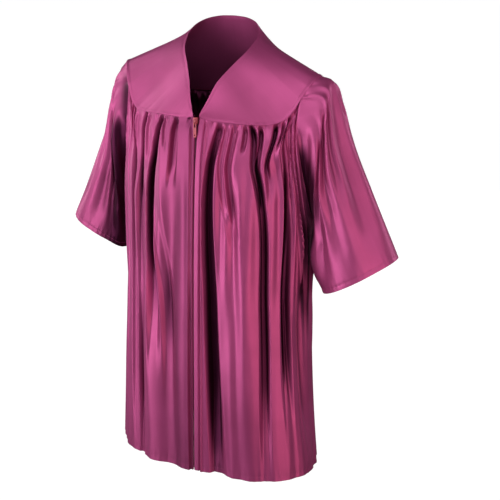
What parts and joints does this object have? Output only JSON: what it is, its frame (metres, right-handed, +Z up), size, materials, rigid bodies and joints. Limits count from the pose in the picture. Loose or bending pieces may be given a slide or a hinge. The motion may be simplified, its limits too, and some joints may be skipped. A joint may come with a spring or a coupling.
{
  "type": "choir robe",
  "caption": "Child's satin choir robe, worn: plain yoke with an open V neck, gathered fronts and back, short bell sleeves and a full-length front zip.",
  "frame": {"origin": "midway between the two shoulder tips, at their height, where the robe rests on its wearer", "axes": "+X to the wearer's left, +Y to the wearer's back, so -Y is the front with the zip, +Z up along the wearer's height"},
  "size_m": [0.6286, 0.237, 0.7897],
  "materials": {
    "orchid_satin": "smooth satin with a soft sheen",
    "zip_tape_weave": "plain woven tape",
    "zip_coil_nylon": "dyed nylon coil",
    "coral_paint": "smooth paint"
  },
  "bodies": {
    "robe": {"yoke_front_left": "orchid_satin", "yoke_front_right": "orchid_satin", "yoke_back": "orchid_satin", "front_left": "orchid_satin", "front_right": "orchid_satin", "back": "orchid_satin", "sleeve_left": "orchid_satin", "sleeve_right": "orchid_satin", "zip_tape_left": "zip_tape_weave", "zip_tape_right": "zip_tape_weave", "zip_chain": "zip_coil_nylon", "zip_slider": "coral_paint"},
    "pull_tab": {"zip_pull": "coral_paint"}
  },
  "joints": [
    {"name": "pull_tab_hinge", "type": "hinge", "parent": "robe", "child": "pull_tab", "pos_m": [0, -0.1217, -0.071], "axis": [-1, 0, 0], "range_deg": [0, 150]}
  ]
}
